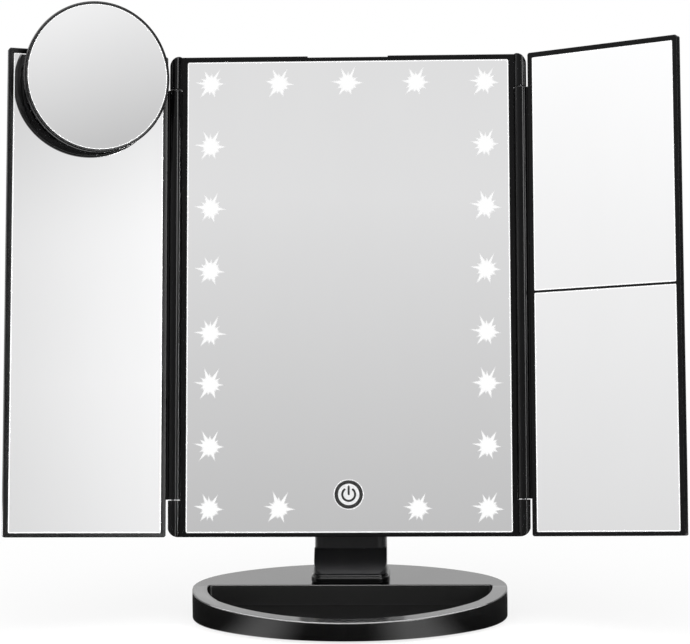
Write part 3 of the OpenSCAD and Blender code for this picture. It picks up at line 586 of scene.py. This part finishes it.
glare_s = Shader("light_glare", IOR=1.0)
glare_s.tree.nodes.remove(glare_s.bsdf)
fade = glare_s.add("ShaderNodeAttribute", {"attribute_name": "fade"})
speck = glare_s.noise(700, 2)
glow = glare_s.add("ShaderNodeEmission", Color=(1, 1, 1, 1), Strength=1.0)
clear = glare_s.add("ShaderNodeBsdfTransparent")
mix = glare_s.add("ShaderNodeMixShader")
soft = glare_s.add("ShaderNodeMath", {"operation": "MULTIPLY_ADD"})
soft.inputs[1].default_value, soft.inputs[2].default_value = 0.12, -0.06
glare_s.link(speck, "Fac", soft, 0)
total = glare_s.add("ShaderNodeMath", {"operation": "ADD", "use_clamp": True})
glare_s.link(fade, "Fac", total, 0)
glare_s.link(soft, "Value", total, 1)
glare_s.link(total, "Value", mix, 0)
glare_s.tree.links.new(glow.outputs[0], mix.inputs[1])
glare_s.tree.links.new(clear.outputs[0], mix.inputs[2])
glare_s.link(mix, "Shader", glare_s.out, "Surface")
glares = piece("light_glares", bm, glare_s.mat, "panel")
values = glares.data.attributes.new("fade", "FLOAT", "POINT")
values.data.foreach_set("value", fade_values)

# ---- touch switch: printed ring and power sign on its window ----
PRINT_FOOT, PRINT_RISE = 0.006, 0.05      # mm in front of the glass


def printed(name, outline, hole):
    """A thin raised print between two loops of (x, z) points."""
    bm = bmesh.new()
    outer = [head(x, -PRINT_FOOT, TOUCH_Z + z) for x, z in outline]
    inner = [head(x, -PRINT_FOOT, TOUCH_Z + z) for x, z in hole]
    ribbon(bm, outer, inner, front * PRINT_RISE * MM)
    piece(name, bm, ink, "panel")


def circle_pts(r, n=72):
    return [(r * math.cos(2 * math.pi * k / n), r * math.sin(2 * math.pi * k / n)) for k in range(n)]


def stroke(name, line, width):
    """A stroke with round ends along a line of (x, z) points."""
    half = width / 2
    left, right = [], []
    for i, (x, z) in enumerate(line):
        (x0, z0), (x1, z1) = line[max(0, i - 1)], line[min(len(line) - 1, i + 1)]
        d = math.hypot(x1 - x0, z1 - z0)
        nx, nz = -(z1 - z0) / d, (x1 - x0) / d
        left.append((x + nx * half, z + nz * half))
        right.append((x - nx * half, z - nz * half))

    def cap(centre, start, turn=-math.pi):
        """Points of the round end, from start round the centre to the other side."""
        a0 = math.atan2(start[1] - centre[1], start[0] - centre[0])
        turns = [a0 + turn * k / 8 for k in range(1, 8)]
        return [(centre[0] + half * math.cos(a), centre[1] + half * math.sin(a)) for a in turns]

    loop = left + cap(line[-1], left[-1]) + right[::-1] + cap(line[0], right[0])
    bm = bmesh.new()
    low = [bm.verts.new(head(x, -PRINT_FOOT, TOUCH_Z + z)) for x, z in loop]
    high = [bm.verts.new(head(x, -PRINT_FOOT - PRINT_RISE, TOUCH_Z + z)) for x, z in loop]
    n = len(loop)
    for k in range(n):
        bm.faces.new((low[k], low[(k + 1) % n], high[(k + 1) % n], high[k]))
    for verts in (low, high):
        rim = [bm.edges.get((verts[k], verts[(k + 1) % n])) for k in range(n)]
        bmesh.ops.triangle_fill(bm, use_beauty=True, edges=rim)
    piece(name, bm, ink, "panel")


RING_R, RING_INNER_R = 6.95, 5.25                   # mm
ARC_R, STROKE_W, ARC_STEPS = 3.15, 1.05, 40         # mm
ARC_GAP = math.radians(40)                          # half of the arc's opening, at its top
BAR_FOOT, BAR_L, BAR_STEPS = 0.1, 3.8, 4            # mm
printed("touch_ring", circle_pts(RING_R), circle_pts(RING_INNER_R))
arc = [ARC_GAP + (2 * math.pi - 2 * ARC_GAP) * k / ARC_STEPS for k in range(ARC_STEPS + 1)]
stroke("power_arc", [(ARC_R * math.sin(a), ARC_R * math.cos(a)) for a in arc], STROKE_W)
stroke("power_bar", [(0, BAR_FOOT + BAR_L * k / BAR_STEPS) for k in range(BAR_STEPS + 1)], STROKE_W * 0.95)

# ---- floor ----
bpy.ops.mesh.primitive_grid_add(x_subdivisions=4, y_subdivisions=4, size=8)
floor = bpy.context.object
floor.name = "floor"
floor_s = Shader("floor", IOR=1.3)
floor_noise = floor_s.noise(3, 3)
floor_s.tint(floor_noise, "Fac", (0.93, 0.93, 0.93), (0.95, 0.95, 0.95))
floor_s.bsdf.inputs["Roughness"].default_value = 0.9
floor_s.bsdf.inputs["Specular IOR Level"].default_value = 0.0
floor.data.materials.append(floor_s.mat)


# ---- world and floor: white to the camera, a studio with soft boxes to gloss, plain to the rest ----
DARK_SIDE, SIDE_STRIP, CEILING = 0.12, 2.4, 0.3          # radiances
HINGE_BOX, BROAD_BOX, FRONT_BOX = 28.0, 16.0, 16.0
BASE_DARK, BASE_GLOW_LEFT, BASE_GLOW_RIGHT, BASE_GLOW_REAR = 0.04, 2.0, 2.1, 2.0
FLOOR_GLOW, CORNER_RIGHT, CORNER_LEFT = 0.9, 0.1, 0.6
REAR_FLOOR, REAR_BOXES = 0.7, 3.6


def build_world():
    w = bpy.data.worlds.new("studio")
    bpy.context.scene.world = w
    w.use_nodes = True
    w.node_tree.nodes.clear()
    g = Graph(w.node_tree)
    ramp, blend, times, window = g.ramp, g.blend, g.times, g.window
    split = g.node("ShaderNodeSeparateXYZ")
    g.put(split.inputs[0], g.node("ShaderNodeTexCoord").outputs["Generated"])
    x, y, z = split.outputs
    az = g.azimuth(x, y)
    el = g.maths("MULTIPLY", g.maths("ARCSINE", z), 180 / math.pi)

    # what the mirrors show: the centre's and the right wing's tones, the left wing's, the round one's
    tone = blend(ramp(az, -18.0, -48.0, 0.0, 1.0, "SMOOTHSTEP"), ramp(el, 10.0, 18.6, 0.546, 0.775),
                 ramp(el, 6.0, 18.0, 0.756, 1.05))
    left = times(ramp(az, 29.5, 34.0, 0.79, 1.0), ramp(el, 8.5, 12.5, 0.92, 1.0),
                 ramp(el, 15.5, 20.5, 1.0, 0.8, "SMOOTHSTEP"))
    tone = blend(ramp(az, 20.0, 29.0, 0.0, 1.0, "SMOOTHSTEP"), tone, left)
    small = times(ramp(el, 5.8, 10.8, 0.9, 0.585), ramp(az, 41.0, 46.0, 0.96, 1.06))
    tone = blend(ramp(az, 35.2, 37.5, 0.0, 1.0), tone, small)
    # dark sides with soft boxes
    tone = blend(ramp(az, 52.0, 60.0, 0.0, 1.0, "SMOOTHSTEP"), tone, DARK_SIDE)
    tone = blend(ramp(az, -64.0, -74.0, 0.0, 1.0, "SMOOTHSTEP"), tone, DARK_SIDE)
    tone = blend(times(window(az, -102.0, -74.0, 6.0), window(el, -5.0, 30.0, 12.0)), tone, SIDE_STRIP)
    tone = blend(times(window(az, 35.6, 39.2, 0.6), window(el, -5.0, 32.0, 1.5)), tone, HINGE_BOX)
    tone = blend(times(window(az, 36.0, 50.0, 1.0), window(el, 12.5, 32.0, 1.5)), tone, BROAD_BOX)
    # a bright backdrop behind, brighter above, with darker corners beside it
    behind = ramp(el, 11.0, 18.0, 0.84, 1.8, "SMOOTHSTEP")
    wide = g.maths("ABSOLUTE", az)
    tone = blend(ramp(wide, 104.0, 114.0, 0.0, 1.0, "SMOOTHSTEP"), tone, behind)
    low = ramp(el, 6.0, 14.0, 1.0, 0.0)
    tone = blend(times(window(az, 108.0, 150.0, 10.0), low), tone, CORNER_RIGHT)
    tone = blend(times(window(az, -162.0, -112.0, 8.0), low), tone, CORNER_LEFT)
    # a grey ceiling with a soft box towards the front
    glossy = blend(ramp(el, 38.0, 62.0, 0.0, 1.0, "SMOOTHSTEP"), tone, CEILING)
    glossy = blend(times(window(az, -75.0, 75.0, 15.0), window(el, 46.0, 80.0, 5.0)), glossy, FRONT_BOX)

    path = g.node("ShaderNodeLightPath")
    level = blend(path.outputs["Is Glossy Ray"], 0.9, glossy)
    level = blend(path.outputs["Is Camera Ray"], level, 1.0)
    level = blend(path.outputs["Is Transmission Ray"], level, 1.0)
    background, out = g.node("ShaderNodeBackground"), g.node("ShaderNodeOutputWorld")
    g.put(background.inputs["Color"], level)
    background.inputs["Strength"].default_value = 1.0
    g.put(out.inputs[0], background.outputs[0])


def light_floor():
    """White to the camera but for a soft shadow.

    Gloss sees it dark close to the base, with the glow of three lights, and soft boxes behind.
    """
    g = Graph(floor_s.tree)
    split = g.node("ShaderNodeSeparateXYZ")
    g.put(split.inputs[0], floor_s.coords.outputs["Object"])
    x, y, z = split.outputs
    az = g.azimuth(x, y)
    r = g.maths("SQRT", g.maths("ADD", g.times(x, x), g.times(y, y)))
    near = g.blend(g.window(az, -43.0, -41.0, 22.0), BASE_DARK, BASE_GLOW_LEFT)
    near = g.blend(g.window(az, 33.0, 37.0, 24.0), near, BASE_GLOW_RIGHT)
    near = g.blend(g.window(g.maths("ABSOLUTE", az), 140.0, 160.0, 25.0), near, BASE_GLOW_REAR)
    far = g.blend(g.window(az, 108.0, 150.0, 10.0), FLOOR_GLOW, CORNER_RIGHT)
    far = g.blend(g.window(az, -162.0, -112.0, 8.0), far, CORNER_LEFT)
    boxes = g.maths("MAXIMUM", g.window(az, 132.0, 146.0, 24.0), g.window(az, -160.0, -128.0, 22.0))
    far = g.blend(g.window(r, 0.24, 0.44, 0.12), far, g.blend(boxes, REAR_FLOOR, REAR_BOXES))
    shine = g.blend(g.ramp(r, 0.13, 0.19, 0.0, 1.0, "SMOOTHSTEP"), near, far)
    path = g.node("ShaderNodeLightPath")
    white = g.blend(path.outputs["Is Glossy Ray"], 1.0, shine)
    glow = g.node("ShaderNodeEmission")
    g.put(glow.inputs["Color"], white)
    cover = g.times(path.outputs["Is Camera Ray"], g.ramp(r, 0.12, 0.8, 0.78, 1.0))
    cover = g.maths("MAXIMUM", cover, g.maths("MAXIMUM", path.outputs["Is Glossy Ray"],
                                              path.outputs["Is Transmission Ray"]))
    mix = g.node("ShaderNodeMixShader")
    g.put(mix.inputs[0], cover)
    g.put(mix.inputs[1], floor_s.bsdf.outputs[0])
    g.put(mix.inputs[2], glow.outputs[0])
    g.put(floor_s.out.inputs["Surface"], mix.outputs[0])


light_floor()
build_world()


# ---- lamp ----
LAMP_PLACE, LAMP_TARGET = Vector((0, -0.2, 1.9)), Vector((0, 0, 0.1))
lamp_data = bpy.data.lights.new("top_light", "AREA")
lamp_data.shape, lamp_data.size, lamp_data.size_y, lamp_data.energy = "RECTANGLE", 1.6, 1.2, 9.0
lamp = bpy.data.objects.new("top_light", lamp_data)
lamp.location = LAMP_PLACE
lamp.rotation_euler = (LAMP_TARGET - LAMP_PLACE).to_track_quat("-Z", "Y").to_euler()
bpy.context.scene.collection.objects.link(lamp)

# ---- camera ----
CAMERA_PLACE = (0.04627, -1.11844, 0.23368)
YAW, PITCH, ROLL = math.radians(2.417), math.radians(-3.975), math.radians(-0.557)
LENS, SENSOR_W, SHIFT_Y, CLIP_END = 120.0, 36.0, -0.03, 50
forward = Vector((-math.sin(YAW) * math.cos(PITCH), math.cos(YAW) * math.cos(PITCH), math.sin(PITCH)))
level_right = forward.cross(Vector((0, 0, 1))).normalized()
level_up = level_right.cross(forward)
right = level_right * math.cos(ROLL) + level_up * math.sin(ROLL)
up = right.cross(forward)
turn = Matrix((right, up, -forward)).transposed()
camera_data = bpy.data.cameras.new("camera")
camera_data.lens, camera_data.sensor_width, camera_data.shift_y = LENS, SENSOR_W, SHIFT_Y
camera_data.clip_end = CLIP_END
camera = bpy.data.objects.new("camera", camera_data)
camera.matrix_world = Matrix.Translation(CAMERA_PLACE) @ turn.to_4x4()
bpy.context.scene.collection.objects.link(camera)
bpy.context.scene.camera = camera
bpy.context.scene.view_settings.view_transform = "Standard"
